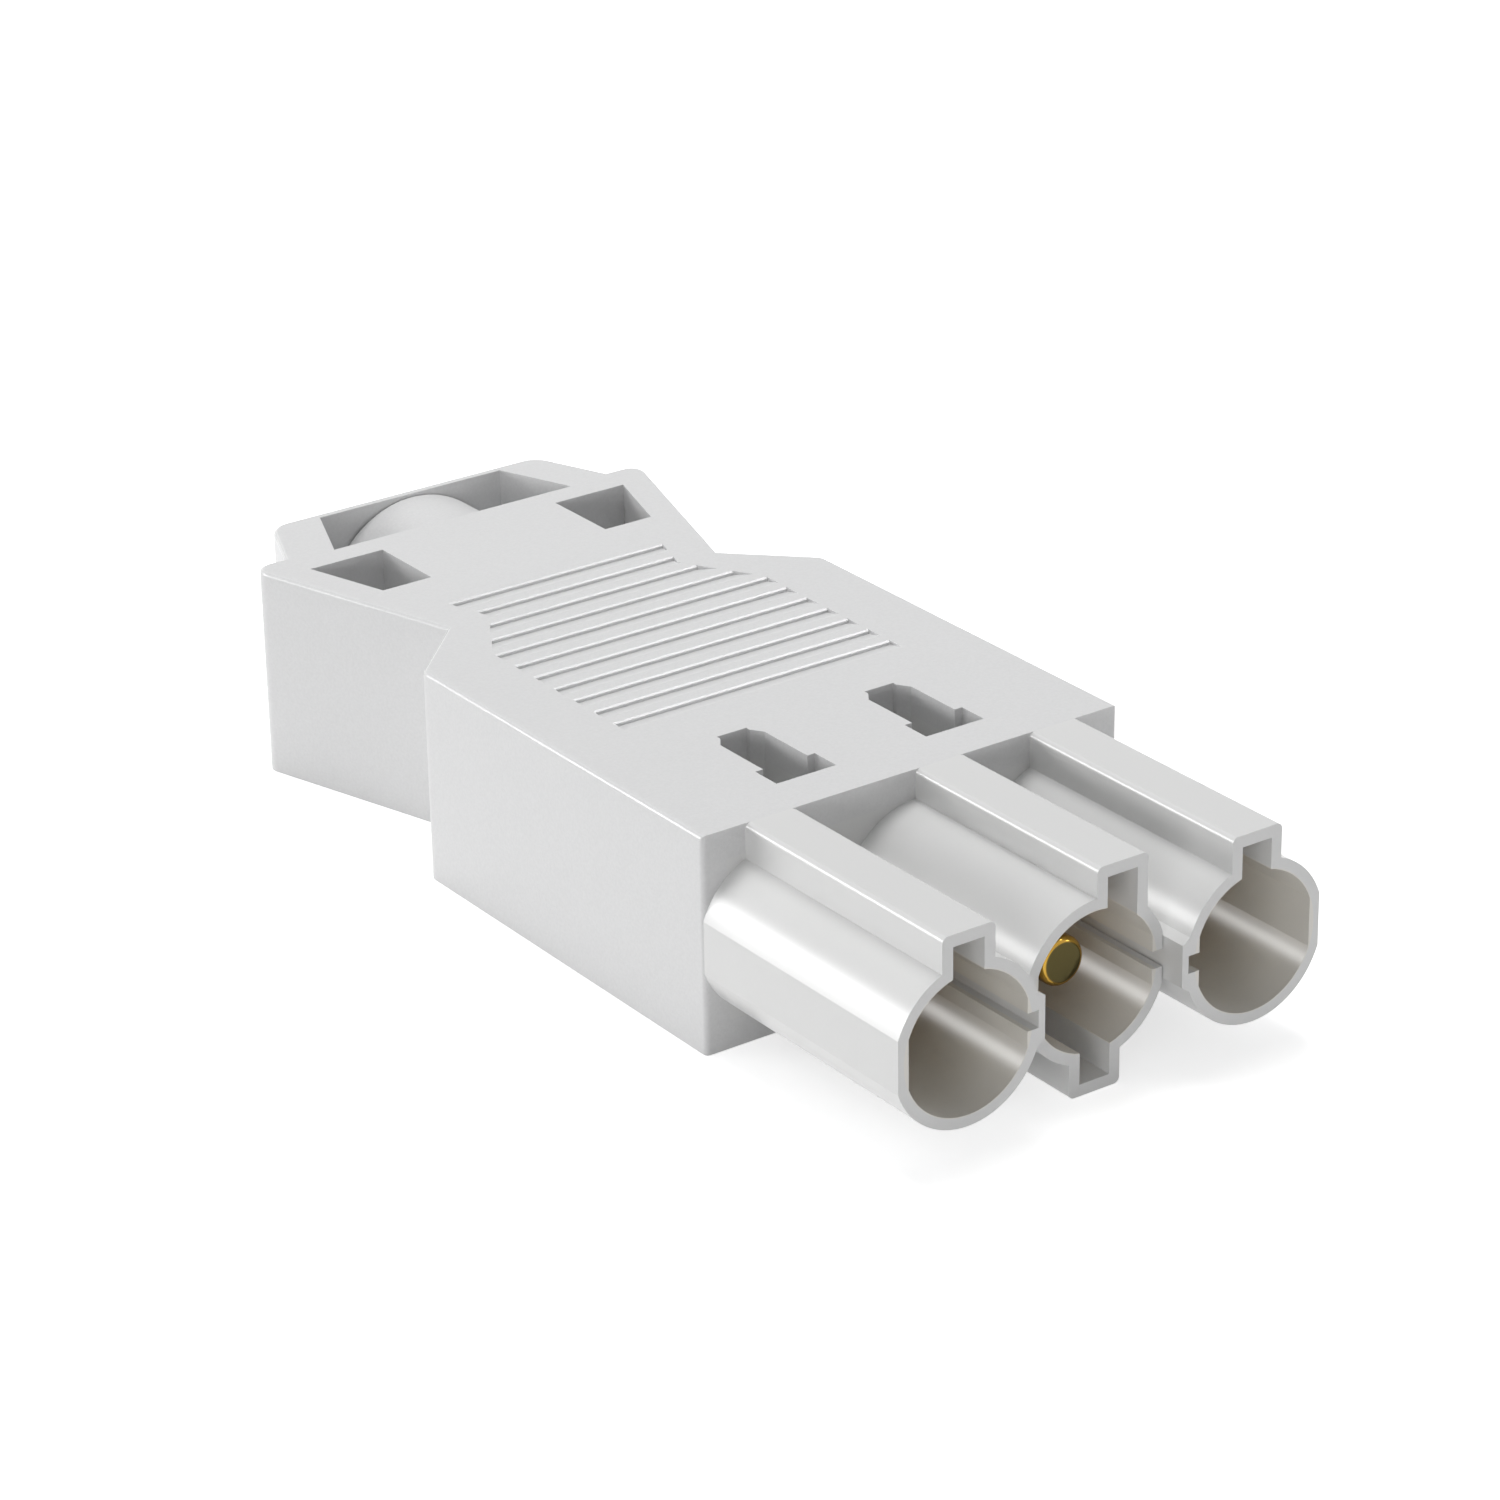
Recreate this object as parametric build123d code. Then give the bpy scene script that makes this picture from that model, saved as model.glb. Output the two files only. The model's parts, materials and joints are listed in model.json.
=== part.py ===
"""Three-pole screw terminal power plug for pluggable mains wiring, in millimetres.

X runs across the three poles, Y runs back from the mating end, and +Z is up.
Everything is drawn with Y = 0 on the front wall of the housing, where the sleeves
start, and is moved at the end so that the origin is at the bottom middle of the plug.
"""
import os

from build123d import *

# Poles and mating sleeves
pitch = 10.0
outer_sleeve_length = 17.8
middle_sleeve_length = 16.2
bore_radius = 4.27
sleeve_wall = 0.70
sleeve_flat = 4.7           # half width between the flat flanks; the outer ones are flush with the housing
key_width = 3.56
key_wall = 0.73
key_round = 0.38
middle_key_offset = 1.8     # the centre sleeve's top key stands off its axis
lug_rise = 0.5              # lug on the flank that covers the notch from outside
lug_root_height = 3.3
lug_face_height = 2.6
notch_height = 1.09
notch_wall = 0.44

# Housing outline
body_height = 13.6
wide_length = 28.8          # from the front wall to where the taper begins
taper_length = 4.7
waist_depth = 4.75          # how far the waist stands in on each side
flare_length = 15.6
ear_step = 2.6              # step from the ears to the rear block
rear_block_length = 5.25
rear_taper = 2.1
wall = 1.65
rear_wall = 0.68
edge_round = 0.3            # long top edges and front corners
corner_round = 1.0
rear_corner_round = 1.6

# Carrier block behind the front wall line
block_length = 11.0
block_roof_thickness = 1.8
front_bar = 1.5             # bar under the block, in front of the cover

# Latch windows behind the sleeves
window_shift = 0.28         # how far outside the middle between two poles
window_setback = 3.16
window_lengths = (2.04, 4.16, 0.74, 0.34)
window_halves = (2.08, 1.55, 1.04)
window_depth = 7.2

# Wells in front of the ears, above the cover screw posts
well_length = 5.74
well_to_ear = 2.5
well_inner_x = 6.5
well_side_wall = 2.2
well_depth = 6.0

# Slot over the cable clamp
slot_length = 5.24
slot_side_wall = 3.45

# Grip field
groove_count = 11
groove_step = 2.095
groove_past_waist = 3.05    # last groove's rear wall, behind the waist
groove_ramp = 1.18
groove_depth = 0.28
groove_lip = 0.1            # bevel along the top of each rear wall
grip_margin = 2.95          # plain border beside the field, at the waist and behind it
grip_front_half = 9.98
grip_taper_length = 5.1

# Cover in the underside
cover_thickness = 1.8
cover_inset = 1.0
cover_gap = 0.05
separator_thickness = 1.2
separator_to_taper = 1.8

# Contact pins
pin_radius = 1.5
pin_chamfer = 0.3
earth_pin_length = 13.4     # in front of the front wall
other_pin_length = 11.4
pin_seat_radius = 1.9       # thicker stretch held in the carrier
pin_seat_cone = 0.4
pin_tail_radius = 1.0
pin_tail_length = 1.5
pin_fit = 0.02              # clearance of the pins in the carrier and the terminals

# Terminal bodies, guards and screws
chamber_roof_thickness = 2.2
terminal_width = 5.6
terminal_length = 10.5
terminal_height = 6.4
terminal_front_wall = 1.6
terminal_lower_wall = 1.6
wire_hole_size = 3.8
pad_length = 3.0
pad_inset = 0.4
screw_setback = 6.4
screw_radius = 1.5
screw_fit = 0.05            # clearance of every screw in its hole
screw_tip_room = 0.2        # blind holes go this much deeper than their screws
screw_head_radius = 2.3
screw_head_height = 1.5
screw_head_z = 0.5
access_gap = 0.2            # access holes of the cover round the terminal screw heads
head_gap = 0.1              # counterbores round the other screw heads
drive_slot_width = 0.7
drive_slot_depth = 0.7
guard_side_gap = 0.1
guard_thickness = 0.6
guard_length = 7.6
guard_lip_drop = 0.6

# Cable clamp
cable_rise = 0.13           # cable axis above the pole axis
dome_gap = 0.2              # top of the saddle below the top of the housing
saddle_wall = 1.77
saddle_gap = 0.1
foot_drop = 0.33            # underside of the feet below the cable axis
foot_thickness = 2.7
foot_reach = 1.5            # beyond the clamp screw's axis
clamp_travel = 2.4
clamp_stop_gap = 0.2
clamp_screw_offset = 1.03   # clamp screw's axis outside the saddle's arch
clamp_screw_radius = 1.25
clamp_tip_room = 0.3        # between the screw tips and the roof over them
clamp_tip_rise = 0.6
clamp_head_radius = 1.9
clamp_head_height = 1.3
clamp_head_z = 0.2
clamp_post_radius = 2.2
clamp_room_wall = 1.2
cradle_rise = 2.3
cradle_web = 0.83           # under the middle of each rib
cradle_end_gap = 0.25       # from the rear edge of the cover
cradle_rib_height = 0.35
cradle_rib_width = 0.7
cradle_rib_count = 3

# Cover screws
cover_screw_radius = 1.2
cover_screw_to_well = 0.7
cover_head_radius = 2.2
cover_head_height = 0.9
cover_head_z = 0.1

# Worked out from the above
poles = {"line": -pitch, "earth": 0.0, "neutral": pitch}
axis_z = body_height / 2
half_width = pitch + sleeve_flat
outer_radius = bore_radius + sleeve_wall
waist_y = wide_length + taper_length
waist_half = half_width - waist_depth
ear_y = waist_y + flare_length
neck_half = half_width - ear_step
rear_y = ear_y + rear_block_length
slot_rear_y = rear_y - rear_wall
slot_front_y = slot_rear_y - slot_length
well_rear_y = ear_y - well_to_ear
well_front_y = well_rear_y - well_length
chamber_rear_y = well_front_y - wall
chamber_roof_z = body_height - chamber_roof_thickness
block_half = half_width - wall
block_roof_z = body_height - block_roof_thickness
terminal_rear_y = block_length + terminal_length
terminal_floor_z = chamber_roof_z - terminal_height
wire_floor_z = terminal_floor_z + terminal_lower_wall
screw_y = block_length + screw_setback
cable_z = axis_z + cable_rise
saddle_radius = body_height - dome_gap - cable_z
cable_radius = saddle_radius - saddle_wall
saddle_front_y = slot_front_y + saddle_gap
saddle_rear_y = slot_rear_y - saddle_gap
foot_floor_z = cable_z - foot_drop
foot_roof_z = foot_floor_z + foot_thickness
clamp_screw_x = saddle_radius + clamp_screw_offset
clamp_screw_y = (slot_front_y + slot_rear_y) / 2
clamp_tip_z = foot_roof_z + clamp_tip_rise
clamp_room_roof_z = clamp_tip_z + clamp_tip_room
clamp_post_top_z = foot_floor_z - clamp_travel - clamp_stop_gap
cradle_trough_radius = cable_z - cover_thickness - cradle_web
cover_screw_y = (well_front_y + well_rear_y) / 2
well_floor_z = body_height - well_depth
cover_screw_tip_z = well_floor_z - cover_screw_to_well
plug_shift_y = (outer_sleeve_length - rear_y) / 2
through = 1.0               # overrun of a cutting tool past the face that it leaves
tiny = 0.01                 # tolerance when edges are picked by their place
forward = (0, -1, 0)
upward = (0, 0, 1)


def flare_half(y):
    """Half width of the housing at a place on the flared sides."""
    return waist_half + (y - waist_y) * waist_depth / flare_length


def rear_half(y):
    """Half width of the rear block at a place along it."""
    return neck_half - (y - ear_y) * rear_taper / rear_block_length


cover_screw_x = (well_inner_x + flare_half(cover_screw_y) - well_side_wall) / 2


def block(x_range, y_range, z_range):
    """A box between three pairs of limits."""
    size = [high - low for low, high in (x_range, y_range, z_range)]
    middle = [(high + low) / 2 for low, high in (x_range, y_range, z_range)]
    return Pos(*middle) * Box(*size)


def prism(points, z_low, z_high):
    """An upright prism on a plan outline."""
    outline = Plane.XY.offset(z_low) * Polygon(*points, align=None)
    return extrude(outline, amount=z_high - z_low, dir=upward)


def post(x, y, radius, z_low, z_high):
    """An upright cylinder."""
    return Pos(x, y, (z_low + z_high) / 2) * Cylinder(radius, z_high - z_low)


def rod(x, z, radius, y_low, y_high):
    """A cylinder along Y."""
    return Pos(x, (y_low + y_high) / 2, z) * Rot(90, 0, 0) * Cylinder(radius, y_high - y_low)


def mirrored(right_points):
    """A closed outline from its right-hand points, front to rear."""
    return right_points + [(-x, y) for x, y in reversed(right_points)]


def plan():
    """Plan of the housing with plain corners: wide front, waist, flared ears and rear block."""
    return Polygon(*mirrored([
        (half_width, 0),
        (half_width, wide_length),
        (waist_half, waist_y),
        (half_width, ear_y),
        (neck_half, ear_y),
        (rear_half(rear_y), rear_y),
    ]), align=None)


def housing_block():
    """The solid body before anything is cut, with its corners and top edges rounded."""
    outline = plan()
    widest = [v for v in outline.vertices() if abs(v.X) > half_width - tiny and v.Y > tiny]
    outline = fillet(widest, corner_round)
    outline = fillet([v for v in outline.vertices() if abs(v.Y - rear_y) < tiny], rear_corner_round)
    body = extrude(outline, amount=body_height, dir=upward)
    top = [e for e in body.edges() if abs(e.center().Z - body_height) < tiny and e.center().Y > tiny]
    front = [e for e in body.edges() if abs(e.center().Y) < tiny and abs(e.center().X) > half_width - tiny]
    return fillet(top + front, edge_round)


def inset_plan(inset, y_range, z_range):
    """A slab of the plan, set in from its sides and kept between two places along Y."""
    outline = offset(plan(), amount=-inset, kind=Kind.INTERSECTION)
    low, high = z_range
    slab = extrude(Plane.XY.offset(low) * outline, amount=high - low, dir=upward)
    return slab & block((-half_width, half_width), y_range, (low - through, high + through))


def window(x, z_low, z_high):
    """A stepped latch window: a wide front, a long waist and a narrow blunt end."""
    wide, narrow, blunt = window_halves
    step_y = window_setback + window_lengths[0]
    narrow_y = step_y + window_lengths[1]
    tip_y = narrow_y + window_lengths[2]
    end_y = tip_y + window_lengths[3]
    outline = mirrored([
        (wide, window_setback),
        (wide, step_y),
        (narrow, step_y),
        (narrow, narrow_y),
        (blunt, tip_y),
        (blunt, end_y),
    ])
    return Pos(x, 0, 0) * prism(outline, z_low, z_high)


def well(side):
    """A four-sided well whose outer wall follows the flared side."""
    points = [
        (side * well_inner_x, well_front_y),
        (side * (flare_half(well_front_y) - well_side_wall), well_front_y),
        (side * (flare_half(well_rear_y) - well_side_wall), well_rear_y),
        (side * well_inner_x, well_rear_y),
    ]
    return prism(points, well_floor_z, body_height + through)


def groove(rear):
    """One saw-tooth groove: a short upright rear wall with a bevelled lip, and a ramp forward."""
    top = body_height
    profile = Polygon(
        (rear, top - groove_lip),
        (rear, top - groove_depth),
        (rear - groove_ramp, top),
        (rear - groove_ramp, top + through),
        (rear + groove_lip, top + through),
        (rear + groove_lip, top),
        align=None)
    return extrude(Plane.YZ * profile, amount=half_width, both=True)


def grip_grooves():
    """The grooves, cut off at the bottle-shaped edge of the field."""
    last_y = waist_y + groove_past_waist
    first_y = last_y - (groove_count - 1) * groove_step - groove_ramp
    edge = mirrored([
        (grip_front_half, first_y - through),
        (grip_front_half, waist_y - grip_taper_length),
        (waist_half - grip_margin, waist_y),
        (flare_half(last_y + groove_lip) - grip_margin, last_y + groove_lip),
    ])
    field = prism(edge, body_height - groove_depth - through, body_height + through)
    return [groove(last_y - number * groove_step) & field for number in range(groove_count)]


def make_housing():
    """Upper moulding with the sides, the grip field and every opening of the top."""
    body = housing_block()
    block_z = (cover_thickness, block_roof_z)
    body -= block((-block_half, block_half), (-through, block_length), block_z)
    body -= inset_plan(wall, (block_length, chamber_rear_y), (cover_thickness, chamber_roof_z))
    body -= inset_plan(cover_inset, (front_bar, rear_y), (-through, cover_thickness))
    channel_half = cable_radius + rear_wall
    body -= block((-channel_half, channel_half), (chamber_rear_y - through, slot_front_y),
                  (cover_thickness, cable_z + channel_half))
    body -= prism(mirrored([
        (rear_half(slot_front_y) - clamp_room_wall, slot_front_y),
        (rear_half(slot_rear_y) - clamp_room_wall, slot_rear_y),
    ]), cover_thickness, clamp_room_roof_z)
    body -= prism(mirrored([
        (rear_half(slot_front_y) - slot_side_wall, slot_front_y),
        (rear_half(slot_rear_y) - slot_side_wall, slot_rear_y),
    ]), clamp_room_roof_z, body_height + through)
    body -= rod(0, cable_z, cable_radius, slot_rear_y - through, rear_y + through)
    for side in (-1, 1):
        window_x = side * (pitch / 2 + window_shift)
        body -= window(window_x, block_roof_z - through, body_height + through)
        body -= well(side)
        body -= post(side * cover_screw_x, cover_screw_y, cover_screw_radius + screw_fit,
                     0, cover_screw_tip_z + screw_tip_room)
    for cutter in grip_grooves():
        body -= cutter
    return body


def sleeve_outline(pole_x, key_x, has_lower_key):
    """Outside of a sleeve: a round tube with flat flanks and a square key on top."""
    outline = Circle(outer_radius) & Rectangle(2 * sleeve_flat, 2 * outer_radius)
    outline += Pos(key_x, axis_z / 2) * RectangleRounded(key_width, axis_z, key_round)
    if has_lower_key:
        outline += Pos(0, -axis_z / 2) * RectangleRounded(key_width, axis_z, key_round)
    if pole_x:
        inward = -1 if pole_x > 0 else 1
        root = sleeve_flat - sleeve_wall
        half_profile = [
            (inward * root, lug_root_height / 2),
            (inward * sleeve_flat, lug_root_height / 2),
            (inward * (sleeve_flat + lug_rise), lug_face_height / 2),
        ]
        outline += Polygon(*half_profile, *[(x, -z) for x, z in reversed(half_profile)], align=None)
    return Plane.XZ * Pos(pole_x, axis_z) * outline


def bore_outline(pole_x, key_x, has_lower_key):
    """Inside of a sleeve, with its key slot and the small side notch."""
    reach = axis_z - key_wall
    slot_width = key_width - 2 * key_wall
    bore = Circle(bore_radius) & Rectangle(2 * (sleeve_flat - sleeve_wall), 2 * bore_radius)
    bore += Pos(key_x, reach / 2) * Rectangle(slot_width, reach)
    if has_lower_key:
        bore += Pos(0, -reach / 2) * Rectangle(slot_width, reach)
    notch_reach = sleeve_flat + lug_rise - notch_wall
    if pole_x:
        inward = -1 if pole_x > 0 else 1
        bore += Pos(inward * notch_reach / 2, 0) * Rectangle(notch_reach, notch_height)
    else:
        bore += Rectangle(2 * notch_reach, notch_height)
    return Plane.XZ * Pos(pole_x, axis_z) * bore


def make_carrier():
    """Three keyed sleeves on the block that fills the front of the housing."""
    carrier = block((-block_half, block_half), (0, block_length), (cover_thickness, block_roof_z))
    for pole_x in poles.values():
        is_middle = pole_x == 0
        length = middle_sleeve_length if is_middle else outer_sleeve_length
        key_x = middle_key_offset if is_middle else 0.0
        carrier += extrude(sleeve_outline(pole_x, key_x, is_middle), amount=length, dir=forward)
        carrier -= extrude(bore_outline(pole_x, key_x, is_middle), amount=length + through, dir=forward)
        carrier -= rod(pole_x, axis_z, pin_seat_radius + pin_fit, -through, block_length + through)
    for side in (-1, 1):
        window_x = side * (pitch / 2 + window_shift)
        carrier -= window(window_x, body_height - window_depth, block_roof_z + through)
    return carrier


def make_pin(pole_x, length):
    """Turned contact pin: chamfered end, cone to the thicker seat, and a tail for the terminal."""
    tail_end = block_length + pin_tail_length
    profile = Polygon(
        (0, -length),
        (pin_radius - pin_chamfer, -length),
        (pin_radius, pin_chamfer - length),
        (pin_radius, 0),
        (pin_seat_radius, pin_seat_cone),
        (pin_seat_radius, block_length),
        (pin_tail_radius, block_length),
        (pin_tail_radius, tail_end),
        (0, tail_end),
        align=None)
    return Pos(pole_x, 0, axis_z) * revolve(profile, Axis.Y)


def make_terminal(pole_x):
    """Brass terminal block with the wire hole at the rear and the screw hole below."""
    half = terminal_width / 2
    body = block((pole_x - half, pole_x + half), (block_length, terminal_rear_y),
                 (terminal_floor_z, chamber_roof_z))
    hole_half = wire_hole_size / 2
    body -= block((pole_x - hole_half, pole_x + hole_half),
                  (block_length + terminal_front_wall, terminal_rear_y + through),
                  (wire_floor_z, wire_floor_z + wire_hole_size))
    body -= post(pole_x, screw_y, screw_radius + screw_fit, terminal_floor_z - through, wire_floor_z + through)
    return body - rod(pole_x, axis_z, pin_tail_radius + pin_fit,
                      block_length - through, block_length + terminal_front_wall + through)


def make_guard(pole_x):
    """Pressure plate between screw and wire, with a lip that keeps it on the terminal."""
    half = wire_hole_size / 2 - guard_side_gap
    x_range = (pole_x - half, pole_x + half)
    rear = terminal_rear_y + guard_thickness
    plate = block(x_range, (rear - guard_length, rear), (wire_floor_z, wire_floor_z + guard_thickness))
    return plate + block(x_range, (terminal_rear_y, rear), (wire_floor_z - guard_lip_drop, wire_floor_z))


def slotted_screw(x, y, shank_radius, tip_z, head_radius, head_low_z, head_high_z):
    """A screw driven from below, with a straight slot across its head."""
    screw = post(x, y, head_radius, head_low_z, head_high_z)
    screw += post(x, y, shank_radius, head_high_z, tip_z)
    half = drive_slot_width / 2
    slot_z = (head_low_z - through, head_low_z + drive_slot_depth)
    return screw - block((x - 2 * head_radius, x + 2 * head_radius), (y - half, y + half), slot_z)


def make_cover():
    """Lid in the underside with access holes, walls between the poles and screw posts."""
    gap = cover_gap
    cover = inset_plan(cover_inset + gap, (front_bar + gap, rear_y), (0, cover_thickness))
    pad_half = terminal_width / 2 - pad_inset
    wall_half = separator_thickness / 2
    for pole_x in poles.values():
        cover += block((pole_x - pad_half, pole_x + pad_half), (block_length, block_length + pad_length),
                       (0, terminal_floor_z))
        cover -= post(pole_x, screw_y, screw_head_radius + access_gap, -through, cover_thickness + through)
    for side in (-1, 1):
        wall_x = side * pitch / 2
        cover += block((wall_x - wall_half, wall_x + wall_half),
                       (block_length, wide_length - separator_to_taper), (0, chamber_roof_z))
        clamp_at = (side * clamp_screw_x, clamp_screw_y)
        cover += post(*clamp_at, clamp_post_radius, 0, clamp_post_top_z)
        cover -= post(*clamp_at, clamp_head_radius + head_gap, -through, clamp_head_z + clamp_head_height)
        cover -= post(*clamp_at, clamp_screw_radius + screw_fit, 0, clamp_post_top_z + through)
        screw_at = (side * cover_screw_x, cover_screw_y)
        cover -= post(*screw_at, cover_head_radius + head_gap, -through, cover_head_z + cover_head_height)
        cover -= post(*screw_at, cover_screw_radius + screw_fit, 0, cover_thickness + through)
    return cover


def make_saddle():
    """Arched upper jaw of the cable clamp, on two feet that the screws pull down."""
    foot_half = clamp_screw_x + foot_reach
    y_range = (saddle_front_y, saddle_rear_y)
    arch = rod(0, cable_z, saddle_radius, *y_range)
    arch &= block((-foot_half, foot_half), y_range, (foot_floor_z, body_height))
    saddle = arch + block((-foot_half, foot_half), y_range, (foot_floor_z, foot_roof_z))
    saddle -= rod(0, cable_z, cable_radius, saddle_front_y - through, saddle_rear_y + through)
    for side in (-1, 1):
        saddle -= post(side * clamp_screw_x, clamp_screw_y, clamp_screw_radius + screw_fit, 0, body_height)
    return saddle


def make_cradle():
    """Ribbed lower jaw of the cable clamp, laid in the cover between the screw posts."""
    half = clamp_screw_x - clamp_post_radius - saddle_gap
    x_range = (-half, half)
    z_range = (cover_thickness, cover_thickness + cradle_rise)
    ends = (saddle_front_y - through, saddle_rear_y + through)
    y_range = (saddle_front_y, rear_y - cover_inset - cover_gap - cradle_end_gap)
    cradle = block(x_range, y_range, z_range)
    cradle -= rod(0, cable_z, cradle_trough_radius + cradle_rib_height, *ends)
    spacing = (y_range[1] - y_range[0] - cradle_rib_width) / (cradle_rib_count - 1)
    for number in range(cradle_rib_count):
        rib_y = y_range[0] + number * spacing
        rib = block(x_range, (rib_y, rib_y + cradle_rib_width), z_range)
        cradle += rib - rod(0, cable_z, cradle_trough_radius, *ends)
    return cradle


def make_cover_screws():
    """The two equal self-tapping screws of the cover."""
    head_top = cover_head_z + cover_head_height
    return [slotted_screw(side * cover_screw_x, cover_screw_y, cover_screw_radius, cover_screw_tip_z,
                          cover_head_radius, cover_head_z, head_top) for side in (-1, 1)]


def make_pieces():
    """Every piece of the plug, by the name of its node."""
    pieces = {
        "housing": make_housing(),
        "contact_carrier": make_carrier(),
        "bottom_cover": make_cover(),
        "cable_saddle": make_saddle(),
        "cable_cradle": make_cradle(),
        "cover_screws": make_cover_screws(),
    }
    for name, pole_x in poles.items():
        length = earth_pin_length if name == "earth" else other_pin_length
        pieces["contact_pin_" + name] = make_pin(pole_x, length)
        pieces["terminal_body_" + name] = make_terminal(pole_x)
        pieces["wire_guard_" + name] = make_guard(pole_x)
        pieces["terminal_screw_" + name] = slotted_screw(
            pole_x, screw_y, screw_radius, wire_floor_z,
            screw_head_radius, screw_head_z, screw_head_z + screw_head_height)
    for name, side in (("left", -1), ("right", 1)):
        pieces["saddle_screw_" + name] = slotted_screw(
            side * clamp_screw_x, clamp_screw_y, clamp_screw_radius, clamp_tip_z,
            clamp_head_radius, clamp_head_z, clamp_head_z + clamp_head_height)
    return pieces


os.makedirs("parts", exist_ok=True)
for name, piece in make_pieces().items():
    solids = piece if isinstance(piece, list) else piece.solids()
    placed = Compound(children=[Location((0, plug_shift_y, 0)) * solid for solid in solids])
    export_step(placed, f"parts/{name}.step")
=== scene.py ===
# %% [markdown]
# A three-pole plug of light grey moulded plastic, with contact tubes at the front, a ribbed grip
# on top and a cable clamp at the rear. The solids of the frame already have the right size and
# place, so this lesson is about light, surfaces and the small turned parts. The frame is loaded
# first, because every piece is placed by it.

# %% Load the measured frame
import json
import math

import bmesh
import bpy
from mathutils import Matrix, Vector


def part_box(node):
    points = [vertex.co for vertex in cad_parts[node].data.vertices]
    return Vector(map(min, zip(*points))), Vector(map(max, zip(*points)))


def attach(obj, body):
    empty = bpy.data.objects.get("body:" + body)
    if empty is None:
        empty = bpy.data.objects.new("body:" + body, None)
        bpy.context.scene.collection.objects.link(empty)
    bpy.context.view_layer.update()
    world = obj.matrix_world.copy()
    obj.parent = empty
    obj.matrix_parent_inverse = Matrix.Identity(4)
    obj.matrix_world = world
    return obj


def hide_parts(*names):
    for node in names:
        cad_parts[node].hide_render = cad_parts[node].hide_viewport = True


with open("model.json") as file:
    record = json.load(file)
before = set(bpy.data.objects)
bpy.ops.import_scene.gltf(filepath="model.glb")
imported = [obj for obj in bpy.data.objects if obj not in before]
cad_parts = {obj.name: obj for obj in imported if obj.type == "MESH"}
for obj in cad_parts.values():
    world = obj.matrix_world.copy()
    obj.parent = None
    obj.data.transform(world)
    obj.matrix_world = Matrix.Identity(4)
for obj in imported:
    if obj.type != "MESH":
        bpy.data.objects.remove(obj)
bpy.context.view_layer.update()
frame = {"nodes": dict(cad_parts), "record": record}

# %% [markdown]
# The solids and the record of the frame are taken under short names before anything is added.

nodes = frame["nodes"]
record = frame["record"]

# %% [markdown]
# Every size below is written in millimetres and turned to metres by one value, because the frame
# is in metres. Colours are written as the hex values that a designer reads off a swatch; Blender's
# shaders want linear light, so one function turns them. A second function adds a node with its
# settings and links, which keeps every node tree below to one line or two for each node.

# %% Units, colours and nodes
MM = 0.001


def linear(hex_colour):
    """An sRGB hex colour as linear red, green, blue and alpha."""
    channels = [int(hex_colour[i:i + 2], 16) / 255 for i in (1, 3, 5)]
    return [c / 12.92 if c <= 0.04045 else ((c + 0.055) / 1.055) ** 2.4 for c in channels] + [1.0]


def add(tree, kind, settings=None, inputs=None):
    """A node with its settings, and its inputs as values or as (node, socket) links."""
    node = tree.nodes.new(kind)
    for name, value in (settings or {}).items():
        setattr(node, name, value)
    for name, value in (inputs or {}).items():
        if isinstance(value, tuple) and isinstance(value[0], bpy.types.Node):
            tree.links.new(value[0].outputs[value[1]], node.inputs[name])
        else:
            node.inputs[name].default_value = value
    return node


print("a mid grey of #808080 is", round(linear("#808080")[0], 3), "in linear light")

# %% [markdown]
# The camera stands to the front left of the plug and above it, far away with a long lens, so that
# the long edges stay almost parallel. Its place, the point that it looks at, its small roll and
# the lens were found by matching the straight edges of the housing.

# %% Camera
camera_place = Vector((-152.22, -218.515, 128.99)) * MM
camera_target = Vector((1.30, -0.28, 7.94)) * MM
camera_roll = math.radians(-0.98)
camera_data = bpy.data.cameras.new("camera")
camera_data.sensor_width = 36.0
camera_data.lens = 117.79
camera_data.clip_start = 0.01
camera_data.clip_end = 20.0
camera = bpy.data.objects.new("camera", camera_data)
turn = (camera_target - camera_place).to_track_quat("-Z", "Y").to_matrix().to_4x4()
roll = Matrix.Rotation(camera_roll, 4, "Z")
camera.matrix_world = Matrix.Translation(camera_place) @ turn @ roll
bpy.context.scene.collection.objects.link(camera)
bpy.context.scene.camera = camera
print("camera distance in mm", round((camera_target - camera_place).length / MM, 1))

# %% [markdown]
# A product picture on white is made with large soft lights, so that the plastic shows its form by
# gentle steps: the top and the left side are pale, the faces towards the front are a clear step
# darker, and the recesses are darker still. The room gives a weak even light. Rays that go
# straight to the camera, or that shiny metal sends there, see plain white.

# %% Room light
scene = bpy.context.scene
scene.view_settings.view_transform = "Standard"
room_light = 0.29
world = bpy.data.worlds.new("white_room")
world.use_nodes = True
scene.world = world
tree = world.node_tree
tree.nodes.clear()
path = add(tree, "ShaderNodeLightPath")
seen = add(tree, "ShaderNodeMath", {"operation": "MAXIMUM"}, {
    0: (path, "Is Camera Ray"), 1: (path, "Is Transmission Ray")})
seen = add(tree, "ShaderNodeMath", {"operation": "MAXIMUM"}, {
    0: (seen, 0), 1: (path, "Is Glossy Ray")})
room = add(tree, "ShaderNodeBackground", None, {
    "Color": linear("#F4F5F7"), "Strength": room_light})
white = add(tree, "ShaderNodeBackground", None, {"Color": linear("#FFFFFF"), "Strength": 1.0})
mixed = add(tree, "ShaderNodeMixShader", None, {0: (seen, 0), 1: (room, 0), 2: (white, 0)})
add(tree, "ShaderNodeOutputWorld", None, {"Surface": (mixed, 0)})
print("room light", room_light)

# %% [markdown]
# Three soft boxes do the main work: one above, a little to the rear, and two low ones on the left.
# The two on the left are what gives the flank the same pale tone as the top. They stand low, so
# that their light does not reach down into the wells, and the tubes keep most of it off the front
# wall. A fourth, weak one at the right lights the rims of the tubes from the side, so that the
# tubes keep most of its light off the front wall too.

# %% Soft boxes
lamp_distance_mm = 500


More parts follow.
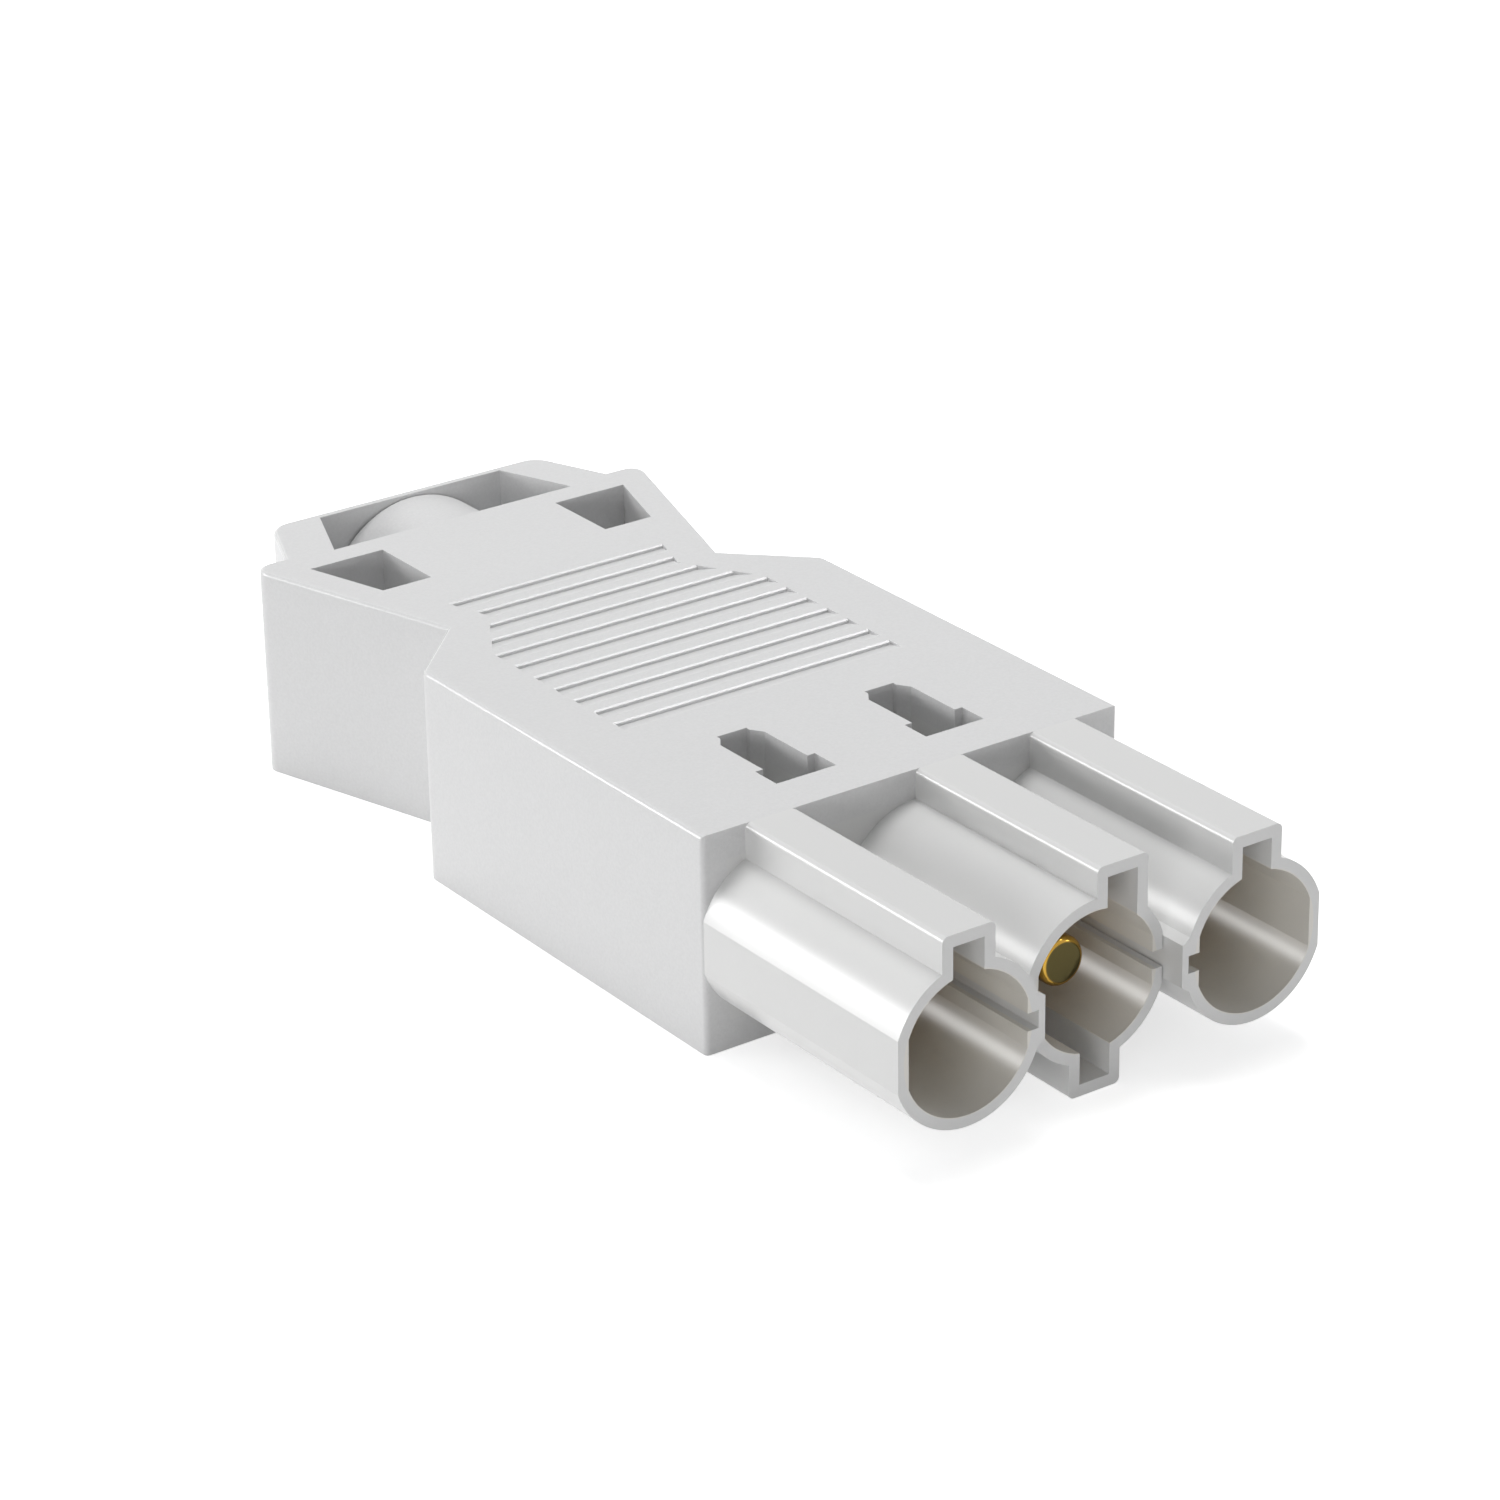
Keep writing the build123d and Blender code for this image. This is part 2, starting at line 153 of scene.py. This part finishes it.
def soft_box(name, toward, size_mm, watts):
    """A rectangular lamp that faces the plug from a direction."""
    data = bpy.data.lights.new(name, "AREA")
    data.shape = "RECTANGLE"
    data.size, data.size_y = [side * MM for side in size_mm]
    data.energy = watts
    lamp = bpy.data.objects.new(name, data)
    place = Vector(toward).normalized() * lamp_distance_mm * MM
    facing = (-place).to_track_quat("-Z", "Y").to_matrix().to_4x4()
    lamp.matrix_world = Matrix.Translation(place) @ facing
    bpy.context.scene.collection.objects.link(lamp)
    return lamp


for name, toward, size_mm, watts in (
        ("top_box", (0.1, 0.25, 1.0), (260, 260), 1.58),
        ("left_front_box", (-0.8, -0.55, 0.15), (260, 120), 0.40),
        ("left_rear_box", (-0.8, 0.55, 0.15), (260, 120), 0.80),
        ("right_front_box", (0.80, -0.58, 0.15), (260, 120), 0.30)):
    soft_box(name, toward, size_mm, watts)
    print(name, watts, "W")

# %% [markdown]
# Smooth round tubes show a long white streak where they mirror a lamp. A strip lamp low at the
# left rear puts it near the shoulder of the tubes, and along every rounded edge on that side. A
# second strip, high at the front right, draws a fine line on the edges that look up and forward,
# such as the lips of the grip grooves. Both work on gloss alone: they throw no shadow, so that the
# insides of the tubes get their streak as well, and they add nothing to the even light.

# %% Strip lamps
for name, toward, size_mm, watts in (
        ("streak_strip", (-0.688, 0.660, 0.320), (150, 110), 0.74),
        ("edge_strip", (0.524, -0.413, 0.745), (200, 120), 0.78)):
    strip = soft_box(name, toward, size_mm, watts)
    strip.data.use_shadow = False
    strip.data.cycles.cast_shadow = False
    strip.visible_diffuse = False
    print(name, watts, "W, on gloss alone")

# %% [markdown]
# The floor is a plain white table. It is a diffuse surface, so the plug leaves its soft shadow on
# it. What the camera sees of it is lifted to white by a little emission, which lights nothing else
# because it only answers camera and mirror rays. The lift grows with the distance from the plug,
# because the lamps hardly reach the far end of the table.

# %% Floor
floor_half = 3000 * MM
lift_grows_from = 250 * MM
lift_grows_to = 900 * MM
lift_near, lift_far = 0.6, 1.0
floor_mesh = bpy.data.meshes.new("floor")
corners = [(-floor_half, -floor_half, 0), (floor_half, -floor_half, 0),
           (floor_half, floor_half, 0), (-floor_half, floor_half, 0)]
floor_mesh.from_pydata(corners, [], [(0, 1, 2, 3)])
floor = bpy.data.objects.new("floor", floor_mesh)
scene.collection.objects.link(floor)
floor_paint = bpy.data.materials.new("white_table")
floor_paint.use_nodes = True
tree = floor_paint.node_tree
tree.nodes.clear()
path = add(tree, "ShaderNodeLightPath")
seen = add(tree, "ShaderNodeMath", {"operation": "MAXIMUM"}, {
    0: (path, "Is Camera Ray"), 1: (path, "Is Glossy Ray")})
place = add(tree, "ShaderNodeTexCoord")
reach = add(tree, "ShaderNodeVectorMath", {"operation": "LENGTH"}, {0: (place, "Object")})
level = add(tree, "ShaderNodeMapRange", None, {
    "Value": (reach, "Value"), "From Min": lift_grows_from, "From Max": lift_grows_to,
    "To Min": lift_near, "To Max": lift_far})
lift = add(tree, "ShaderNodeMath", {"operation": "MULTIPLY"}, {0: (seen, 0), 1: (level, 0)})
diffuse = add(tree, "ShaderNodeBsdfDiffuse", None, {"Color": linear("#F2F2F2")})
glow = add(tree, "ShaderNodeEmission", None, {"Color": linear("#FFFFFF"), "Strength": (lift, 0)})
both = add(tree, "ShaderNodeAddShader", None, {0: (diffuse, 0), 1: (glow, 0)})
add(tree, "ShaderNodeOutputMaterial", None, {"Surface": (both, 0)})
floor_mesh.materials.append(floor_paint)
print("floor size in mm", round(2 * floor_half / MM))

# %% [markdown]
# The housing, its cover and the cable clamp are polyamide, injection moulded in a mould whose
# walls were spark eroded. That gives the eye a pale grey satin with a very fine even grain and
# soft, wide highlights; the clamp's mould was eroded more coarsely and leaves it matt. The contact
# tubes are the same plastic, but from polished steel, so they are smoother and carry long bright
# streaks. The grain is noise on Object coordinates, with its scale worked out from the width of a
# grain, drawn a little coarser than real so that it shows. The rounded edges of the housing's
# mould are cut and not eroded, so edges that slope are glossier than the flat faces.

# %% Moulded polyamide
polyamide_ior = 1.53
cloud_mm = 14.0                     # width of the slow changes in tone
cloud_depth = 0.01                  # how much darker they get
noise_low, noise_high = 0.3, 0.7    # nearly all of a fine noise lies between these
cloud_low, cloud_high = 0.35, 0.65  # and of a soft one between these
flat_slope, edge_slope = 0.05, 0.2  # what counts as a flat face, and as a rounded edge


def finish(material_name, hex_colour, roughness, metallic=0.0):
    """A material with one Principled shader, and the tree to build on."""
    material = bpy.data.materials.new(material_name)
    material.use_nodes = True
    tree = material.node_tree
    tree.nodes.clear()
    shader = add(tree, "ShaderNodeBsdfPrincipled", None, {
        "Base Color": linear(hex_colour), "Roughness": roughness, "Metallic": metallic})
    add(tree, "ShaderNodeOutputMaterial", None, {"Surface": (shader, 0)})
    return material, tree, shader


def moulded_plastic(material_name, hex_colour, roughness, grain_mm, grain_depth_mm, speckle,
                    edge_gloss):
    """Moulded plastic with a fine grain in height, tone and gloss; also its tree and tone node."""
    material, tree, shader = finish(material_name, hex_colour, roughness)
    shader.inputs["IOR"].default_value = polyamide_ior
    place = add(tree, "ShaderNodeTexCoord")
    grain = add(tree, "ShaderNodeTexNoise", None, {
        "Vector": (place, "Object"), "Scale": 1 / (grain_mm * MM), "Detail": 3.0,
        "Roughness": 0.6})
    cloud = add(tree, "ShaderNodeTexNoise", None, {
        "Vector": (place, "Object"), "Scale": 1 / (cloud_mm * MM), "Detail": 2.0})
    bump = add(tree, "ShaderNodeBump", None, {
        "Height": (grain, 0), "Strength": 1.0, "Distance": grain_depth_mm * MM})
    tree.links.new(bump.outputs[0], shader.inputs["Normal"])
    speck = add(tree, "ShaderNodeMapRange", None, {
        "Value": (grain, 0), "From Min": noise_low, "From Max": noise_high,
        "To Min": 1 - speckle, "To Max": 1.0})
    patch = add(tree, "ShaderNodeMapRange", None, {
        "Value": (cloud, 0), "From Min": cloud_low, "From Max": cloud_high,
        "To Min": 1 - cloud_depth, "To Max": 1.0})
    shade = add(tree, "ShaderNodeMath", {"operation": "MULTIPLY"}, {0: (speck, 0), 1: (patch, 0)})
    tone = add(tree, "ShaderNodeMix", {"data_type": "RGBA", "blend_type": "MULTIPLY"}, {
        0: 1.0, 6: linear(hex_colour), 7: (shade, 0)})
    tree.links.new(tone.outputs[2], shader.inputs["Base Color"])
    gloss = add(tree, "ShaderNodeMapRange", None, {
        "Value": (grain, 0), "From Min": noise_low, "From Max": noise_high,
        "To Min": roughness - speckle / 2, "To Max": roughness + speckle / 2})
    facing = add(tree, "ShaderNodeSeparateXYZ", None, {0: (place, "Normal")})
    slope = add(tree, "ShaderNodeMath", {"operation": "PINGPONG"}, {0: (facing, "Z"), 1: 0.5})
    edge = add(tree, "ShaderNodeMapRange", None, {
        "Value": (slope, 0), "From Min": flat_slope, "From Max": edge_slope,
        "To Min": 1.0, "To Max": edge_gloss})
    rough = add(tree, "ShaderNodeMath", {"operation": "MULTIPLY"}, {0: (gloss, 0), 1: (edge, 0)})
    tree.links.new(rough.outputs[0], shader.inputs["Roughness"])
    print(material_name, hex_colour, "with a grain of", grain_mm, "mm")
    return material, tree, tone


satin_polyamide = moulded_plastic(
    "satin_polyamide", "#DCDCDC", roughness=0.40, grain_mm=0.18, grain_depth_mm=0.009,
    speckle=0.06, edge_gloss=0.60)[0]
matt_polyamide = moulded_plastic(
    "matt_polyamide", "#DCDCDC", roughness=0.46, grain_mm=0.20, grain_depth_mm=0.014,
    speckle=0.07, edge_gloss=1.0)[0]
smooth_polyamide, smooth_tree, smooth_tone = moulded_plastic(
    "smooth_polyamide", "#DCDCDB", roughness=0.28, grain_mm=0.20, grain_depth_mm=0.0004,
    speckle=0.012, edge_gloss=1.0)

# %% [markdown]
# The insides of the tubes get a slightly warm tint painted into their colour. It is painted
# reflected light that stands for the warm glow of the bores, not a tone of the plastic itself. The
# warm tint is put on by distance from the nearest pole axis: the wrap of X brings all three poles
# to one, and a ring just outside the bore radius parts the inside from the outside. It ends at the
# front wall.

# %% Painted warm reflection in the bores
pole_pitch = 10.0 * MM
pole_height = record["mounts"][0]["pos_m"][2]
bore_radius = 4.27 * MM
painted_warmth_until = bore_radius + 0.02 * MM
painted_warmth_gone_from = bore_radius + 0.08 * MM
front_wall = nodes["housing"].bound_box[0][1]
place = add(smooth_tree, "ShaderNodeTexCoord")
axes = add(smooth_tree, "ShaderNodeSeparateXYZ", None, {0: (place, "Object")})
across = add(smooth_tree, "ShaderNodeMath", {"operation": "WRAP"}, {
    0: (axes, "X"), 1: pole_pitch / 2, 2: -pole_pitch / 2})
rise = add(smooth_tree, "ShaderNodeMath", {"operation": "SUBTRACT"}, {
    0: (axes, "Z"), 1: pole_height})
offset = add(smooth_tree, "ShaderNodeCombineXYZ", None, {"X": (across, 0), "Y": (rise, 0)})
distance = add(smooth_tree, "ShaderNodeVectorMath", {"operation": "LENGTH"}, {0: (offset, 0)})
outside = add(smooth_tree, "ShaderNodeMapRange", None, {
    "Value": (distance, "Value"), "From Min": painted_warmth_until, "From Max": painted_warmth_gone_from})
behind = add(smooth_tree, "ShaderNodeMath", {"operation": "GREATER_THAN"}, {
    0: (axes, "Y"), 1: front_wall})
outside = add(smooth_tree, "ShaderNodeMath", {"operation": "MAXIMUM"}, {
    0: (outside, 0), 1: (behind, 0)})
# painted reflection: a warm tint inside the bores stands in for reflected light
painted_bore_warmth = add(smooth_tree, "ShaderNodeMix", {"data_type": "RGBA"}, {
    0: (outside, 0), 6: linear("#E2DFD8"), 7: linear("#DCDCDB")})
smooth_tree.links.new(painted_bore_warmth.outputs[2], smooth_tone.inputs[6])
print("bore tone ends at mm", round(bore_radius / MM, 2))

# %% [markdown]
# The terminal bodies are sawn and milled from brass bar, so they are dull, with fine marks across.
# Screws and wire guards are steel with a thin bright zinc coat, which is greyish blue and a little
# cloudy. The contact pins are brass too, turned and polished. The marks are noise on Object
# coordinates, squeezed by a Mapping node along the direction that the tool ran in.

# %% Metals
gloss_spread = 0.07       # how far the marks move the roughness up and down
least_roughness = 0.03


def worked_metal(material_name, hex_colour, roughness, mark_mm, mark_depth_mm, stretch):
    """Metal with fine tool marks, stretched along the axes by the given factors; also its tree."""
    material, tree, shader = finish(material_name, hex_colour, roughness, metallic=1.0)
    place = add(tree, "ShaderNodeTexCoord")
    along = add(tree, "ShaderNodeMapping", None, {"Vector": (place, "Object"), "Scale": stretch})
    marks = add(tree, "ShaderNodeTexNoise", None, {
        "Vector": (along, 0), "Scale": 1 / (mark_mm * MM), "Detail": 4.0})
    bump = add(tree, "ShaderNodeBump", None, {
        "Height": (marks, 0), "Strength": 1.0, "Distance": mark_depth_mm * MM})
    tree.links.new(bump.outputs[0], shader.inputs["Normal"])
    gloss = add(tree, "ShaderNodeMapRange", None, {
        "Value": (marks, 0), "From Min": noise_low, "From Max": noise_high,
        "To Min": max(roughness - gloss_spread, least_roughness),
        "To Max": roughness + gloss_spread})
    tree.links.new(gloss.outputs[0], shader.inputs["Roughness"])
    print(material_name, hex_colour, "with marks of", mark_mm, "mm")
    return material, tree, shader


milled_brass = worked_metal(
    "milled_brass", "#C9A45A", roughness=0.34, mark_mm=0.12, mark_depth_mm=0.002,
    stretch=(0.15, 1.0, 1.0))[0]
zinc_steel = worked_metal(
    "bright_zinc_plated_steel", "#C3C7CC", roughness=0.30, mark_mm=0.25, mark_depth_mm=0.001,
    stretch=(1.0, 1.0, 1.0))[0]

# %% [markdown]
# The flat end of each pin is painted a dark olive. This painted reflection stands for the dark
# surroundings that the end mirrors, while the side and the rounded edge keep the plain brass
# colour. The surface normal parts them: only the end faces straight along the pin's axis.

# %% Pin brass with a painted dark reflection on its end
side_brass_until, dark_reflection_from = 0.95, 0.998
polished_brass, brass_tree, brass_shader = worked_metal(
    "polished_turned_brass", "#B9923F", roughness=0.10, mark_mm=0.10, mark_depth_mm=0.0004,
    stretch=(0.2, 1.0, 0.2))
place = add(brass_tree, "ShaderNodeTexCoord")
facing = add(brass_tree, "ShaderNodeSeparateXYZ", None, {0: (place, "Normal")})
endwise = add(brass_tree, "ShaderNodeMath", {"operation": "ABSOLUTE"}, {0: (facing, "Y")})
painted_reflection_mask = add(brass_tree, "ShaderNodeMapRange", None, {
    "Value": (endwise, 0), "From Min": side_brass_until, "From Max": dark_reflection_from})
# painted reflection: the end face is coloured dark olive for the dark surroundings it mirrors
brass_tone = add(brass_tree, "ShaderNodeMix", {"data_type": "RGBA"}, {
    0: (painted_reflection_mask, 0), 6: linear("#B9923F"), 7: linear("#4A4328")})
brass_tree.links.new(brass_tone.outputs[2], brass_shader.inputs["Base Color"])

# %% [markdown]
# The record names a slot for every solid, such as the plastic of the housing or the steel of the
# screws. One table says which finish goes into which slot, so a solid is never painted by hand,
# and two solids of one slot always match.

# %% Put the finishes on the solids
finish_of_slot = {
    "housing_plastic": satin_polyamide,
    "carrier_plastic": smooth_polyamide,
    "cover_plastic": satin_polyamide,
    "clamp_plastic": matt_polyamide,
    "contact_brass": polished_brass,
    "terminal_brass": milled_brass,
    "guard_steel": zinc_steel,
    "screw_steel": zinc_steel,
}
slot_of_node = {entry["node"]: entry["material_slot"] for entry in record["subparts"]}
for node_name, solid in nodes.items():
    for material_slot in solid.material_slots:
        material_slot.material = finish_of_slot[slot_of_node[node_name]]
print("finished solids", len(nodes))

# %% [markdown]
# A contact pin is turned from bar, so its whole form is one profile spun about its axis. The real
# one has a well rounded end that finds its way into the socket. A Screw modifier could spin it
# too; here the profile is a short list of places along the pin with a radius each, and the mesh is
# made ring by ring, which keeps the rounded end an exact quarter circle. Each end closes on one
# middle point.

# %% Turned contact pins
pin_end_round = 0.36 * MM
pin_seat_cone = 0.4 * MM
pin_tail_radius = 1.0 * MM
pin_tail_length = 1.5 * MM
round_steps = 10
ring_count = 72
sharp_angle = math.radians(32)


def pin_profile(node_name, shank_radius):
    """Places along Y and radii of a pin, from its rounded end to its tail."""
    low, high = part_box(node_name)
    seat_radius = (high[0] - low[0]) / 2
    quarter = [math.radians(90 / round_steps * step) for step in range(1, round_steps + 1)]
    rounded = [(low[1] + pin_end_round * (1 - math.cos(a)),
                shank_radius - pin_end_round * (1 - math.sin(a))) for a in quarter]
    tail_start = high[1] - pin_tail_length
    return [(low[1], shank_radius - pin_end_round)] + rounded + [
        (front_wall, shank_radius), (front_wall + pin_seat_cone, seat_radius),
        (tail_start, seat_radius), (tail_start, pin_tail_radius), (high[1], pin_tail_radius)]


def turned(piece_name, axis_x, axis_z, profile):
    """A closed mesh spun about a line along Y."""
    builder = bmesh.new()
    angles = [2 * math.pi * step / ring_count for step in range(ring_count)]
    rings = []
    for along, radius in profile:
        rings.append([builder.verts.new((
            axis_x + radius * math.cos(a), along, axis_z + radius * math.sin(a)))
            for a in angles])
    for first, second in zip(rings, rings[1:]):
        for step in range(ring_count):
            after = (step + 1) % ring_count
            builder.faces.new((first[step], first[after], second[after], second[step]))
    for ring, (along, _) in ((rings[0], profile[0]), (rings[-1], profile[-1])):
        middle = builder.verts.new((axis_x, along, axis_z))
        for step in range(ring_count):
            builder.faces.new((ring[step], ring[(step + 1) % ring_count], middle))
    bmesh.ops.recalc_face_normals(builder, faces=builder.faces)
    mesh = bpy.data.meshes.new(piece_name)
    builder.to_mesh(mesh)
    builder.free()
    return mesh


def placed_piece(piece_name, mesh, material, body, node_name):
    """A finished mesh as a piece that rides on a body and stands for a node."""
    mesh.materials.clear()
    mesh.materials.append(material)
    mesh.shade_smooth()
    mesh.set_sharp_from_angle(angle=sharp_angle)
    piece = bpy.data.objects.new(piece_name, mesh)
    scene.collection.objects.link(piece)
    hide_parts(node_name)
    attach(piece, body)


for mount in record["mounts"]:
    if mount["kind"] == "pin":
        node_name = "contact_" + mount["name"]
        x, _, z = mount["pos_m"]
        profile = pin_profile(node_name, mount["dims"]["r_mm"] * MM)
        spun = turned("turned_" + node_name, x, z, profile)
        placed_piece(spun.name, spun, polished_brass, "shell", node_name)
        print(spun.name, "faces", len(spun.polygons))

# %% [markdown]
# The plug has seven slotted screws of three sizes: one in each terminal, two in the cable clamp
# and two that hold the cover. A screw is a core with a ridge wound round it and a slotted head, so
# Geometry Nodes make it from its sizes: a spiral curve carries a three-sided ridge, and a cutter
# takes the slot out of the head. The head stands on Z = 0 and the shank points up, as the screws
# sit in the plug. The tree starts with a named input for each size, and with a table of the sizes
# that follow from them, because one table is easier to read than sums spread over the tree.

# %% Inputs and sums of the screw tree
screw_tree = bpy.data.node_groups.new("slotted_screw", "GeometryNodeTree")
screw_sizes = ("Head radius", "Head height", "Thread radius", "Thread depth", "Pitch", "Length",
               "Slot width", "Slot depth")
for size_name in screw_sizes:
    screw_tree.interface.new_socket(
        name=size_name, in_out="INPUT", socket_type="NodeSocketFloat")
screw_tree.interface.new_socket(name="Metal", in_out="INPUT", socket_type="NodeSocketMaterial")
screw_tree.interface.new_socket(name="Screw", in_out="OUTPUT", socket_type="NodeSocketGeometry")
given = add(screw_tree, "NodeGroupInput")
spare_turns = 1.1       # the thread stops this many turns short of the whole shank
thread_lead = 0.55      # pitches between the head and the middle of the thread's first turn
size = {size_name: (given, size_name) for size_name in screw_sizes}
for result, operation, *terms in (
        ("root radius", "SUBTRACT", "Thread radius", "Thread depth"),
        ("shank length", "SUBTRACT", "Length", "Head height"),
        ("core middle", "MULTIPLY_ADD", "shank length", 0.5, "Head height"),
        ("turns on the shank", "DIVIDE", "shank length", "Pitch"),
        ("turns", "SUBTRACT", "turns on the shank", spare_turns),
        ("climb", "MULTIPLY", "turns", "Pitch"),
        ("ridge width", "MULTIPLY", "Pitch", 0.5),
        ("ridge reach", "MULTIPLY", "Thread depth", -1.0),
        ("thread start", "MULTIPLY_ADD", "Pitch", thread_lead, "Head height"),
        ("head middle", "MULTIPLY", "Head height", 0.5),
        ("cutter length", "MULTIPLY", "Head radius", 3.0),
        ("cutter height", "MULTIPLY", "Slot depth", 2.0)):
    values = {index: size.get(term, term) for index, term in enumerate(terms)}
    size[result] = (add(screw_tree, "ShaderNodeMath", {"operation": operation}, values), 0)
lift = {height: (add(screw_tree, "ShaderNodeCombineXYZ", None, {"Z": size[height]}), 0)
        for height in ("core middle", "thread start", "head middle")}
print("screw sizes", len(screw_sizes), "given and", len(size) - len(screw_sizes), "worked out")

# %% [markdown]
# A real thread is one ridge that climbs round the core. Separate rings would be quicker to make,
# but they do not climb. So the core is a plain cylinder as thick as the bottom of the thread, and
# the ridge is a triangle swept along a spiral. Its reach is negative, which turns the triangle
# round, so that its point looks outwards.

# %% Core and thread of the screw
core = add(screw_tree, "GeometryNodeMeshCylinder", None, {
    "Vertices": 40, "Radius": size["root radius"], "Depth": size["shank length"]})
core = add(screw_tree, "GeometryNodeTransform", None, {
    "Geometry": (core, "Mesh"), "Translation": lift["core middle"]})
helix = add(screw_tree, "GeometryNodeCurveSpiral", None, {
    "Resolution": 26, "Rotations": size["turns"], "Start Radius": size["root radius"],
    "End Radius": size["root radius"], "Height": size["climb"]})
helix = add(screw_tree, "GeometryNodeSetCurveNormal", {"mode": "Z_UP"}, {"Curve": (helix, 0)})
ridge_size = add(screw_tree, "ShaderNodeCombineXYZ", None, {
    "X": size["ridge reach"], "Y": size["ridge width"], "Z": 1.0})
ridge = add(screw_tree, "GeometryNodeCurvePrimitiveCircle", {"mode": "RADIUS"}, {
    "Resolution": 3, "Radius": 1.0})
ridge = add(screw_tree, "GeometryNodeTransform", None, {
    "Geometry": (ridge, 0), "Scale": (ridge_size, 0)})
wound = add(screw_tree, "GeometryNodeCurveToMesh", None, {
    "Curve": (helix, 0), "Profile Curve": (ridge, 0), "Fill Caps": True})
wound = add(screw_tree, "GeometryNodeTransform", None, {
    "Geometry": (wound, 0), "Translation": lift["thread start"]})
print("screw tree nodes so far", len(screw_tree.nodes))

# %% [markdown]
# The slot is sawn straight across the head, so here a box takes it out. The box is longer than the
# head is wide and stands half below it, which leaves no thin skin at its ends or at its mouth. The
# tree ends by joining the parts, making them real and giving them their metal.

# %% Head of the screw, and the whole
head = add(screw_tree, "GeometryNodeMeshCylinder", None, {
    "Vertices": 56, "Radius": size["Head radius"], "Depth": size["Head height"]})
head = add(screw_tree, "GeometryNodeTransform", None, {
    "Geometry": (head, "Mesh"), "Translation": lift["head middle"]})
cutter_size = add(screw_tree, "ShaderNodeCombineXYZ", None, {
    "X": size["cutter length"], "Y": size["Slot width"], "Z": size["cutter height"]})
cutter = add(screw_tree, "GeometryNodeMeshCube", None, {"Size": (cutter_size, 0)})
slotted = add(screw_tree, "GeometryNodeMeshBoolean", {"operation": "DIFFERENCE"}, {
    "Mesh 1": (head, 0), "Mesh 2": (cutter, 0)})
whole = add(screw_tree, "GeometryNodeJoinGeometry")
for part in (slotted, core, wound):
    screw_tree.links.new(part.outputs[0], whole.inputs[0])
whole = add(screw_tree, "GeometryNodeRealizeInstances", None, {"Geometry": (whole, 0)})
whole = add(screw_tree, "GeometryNodeSetMaterial", None, {
    "Geometry": (whole, 0), "Material": (given, "Metal")})
add(screw_tree, "NodeGroupOutput", None, {"Screw": (whole, 0)})
print("screw tree nodes", len(screw_tree.nodes))

# %% [markdown]
# Each screw takes its outer sizes from its own solid, so it fills the same space. The thread pitch
# of the terminal and clamp screws is the one that the record's couplings state, turned from metres
# per radian to metres per turn; the coupling of the two clamp screws has no pitch, and its ratio
# of 1 tells it apart. The cover screws cut their own thread in plastic, so theirs is coarse.

# %% Make the screws
slot_size = 0.7 * MM
turned_head = {         # height of the head and radius of the thread
    "terminal": (1.5 * MM, 1.5 * MM),
    "clamp": (1.3 * MM, 1.25 * MM),
    "cover": (0.9 * MM, 1.2 * MM),
}
highest_pitch_ratio = 0.01
pitch_of = {entry["follows"]: entry["ratio"] * 2 * math.pi
            for entry in record["behaviour"]["couplings"] if entry["ratio"] < highest_pitch_ratio}
cover_screw_pitch = 0.8 * MM
depth_per_pitch = 0.61          # of a common metric thread
deepest_thread = 0.3 * MM


def screw_mesh(mesh_name, head_radius, length, pitch, kind):
    """One screw as a plain mesh that stands on the origin."""
    head_height, thread_radius = turned_head[kind]
    depth = min(depth_per_pitch * pitch, deepest_thread)
    sizes = (head_radius, head_height, thread_radius, depth, pitch, length, slot_size, slot_size)
    blank = bpy.data.objects.new(mesh_name, bpy.data.meshes.new(mesh_name))
    scene.collection.objects.link(blank)
    maker = blank.modifiers.new("screw", "NODES")
    maker.node_group = screw_tree
    named = {item.name: item.identifier
             for item in screw_tree.interface.items_tree if item.in_out == "INPUT"}
    for size_name, value in zip(screw_sizes, sizes):
        maker[named[size_name]] = value
    maker[named["Metal"]] = zinc_steel
    evaluated = blank.evaluated_get(bpy.context.evaluated_depsgraph_get())
    mesh = bpy.data.meshes.new_from_object(evaluated)
    bpy.data.objects.remove(blank)
    return mesh


def outward(mesh_name, meshes_and_places):
    """Meshes at their places joined to one, with every face pointing outwards."""
    builder = bmesh.new()
    for mesh, place in meshes_and_places:
        mesh.transform(Matrix.Translation(place))
        builder.from_mesh(mesh)
    bmesh.ops.recalc_face_normals(builder, faces=builder.faces)
    joined = bpy.data.meshes.new(mesh_name)
    builder.to_mesh(joined)
    builder.free()
    return joined


def make_screw(node_name, kind, body, pitch):
    """The screw or the pair of screws that stands for a node."""
    low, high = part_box(node_name)
    head_radius = (high[1] - low[1]) / 2
    left_x, right_x = low[0] + head_radius, high[0] - head_radius
    axis_xs = [left_x, right_x] if right_x - left_x > MM else [left_x]
    parts = [(screw_mesh(node_name + "_blank", head_radius, high[2] - low[2], pitch, kind),
              (x, (low[1] + high[1]) / 2, low[2])) for x in axis_xs]
    joined = outward("threaded_" + node_name, parts)
    placed_piece(joined.name, joined, zinc_steel, body, node_name)
    print(joined.name, "faces", len(joined.polygons))


for pole in ("line", "earth", "neutral"):
    make_screw("terminal_screw_" + pole, "terminal", "screw_" + pole,
               pitch_of[f"screw_{pole}_turn"])
for side in ("left", "right"):
    make_screw("saddle_screw_" + side, "clamp", "clamp_screw_" + side,
               pitch_of["clamp_screw_left_turn"])
make_screw("cover_screws", "cover", "shell", cover_screw_pitch)
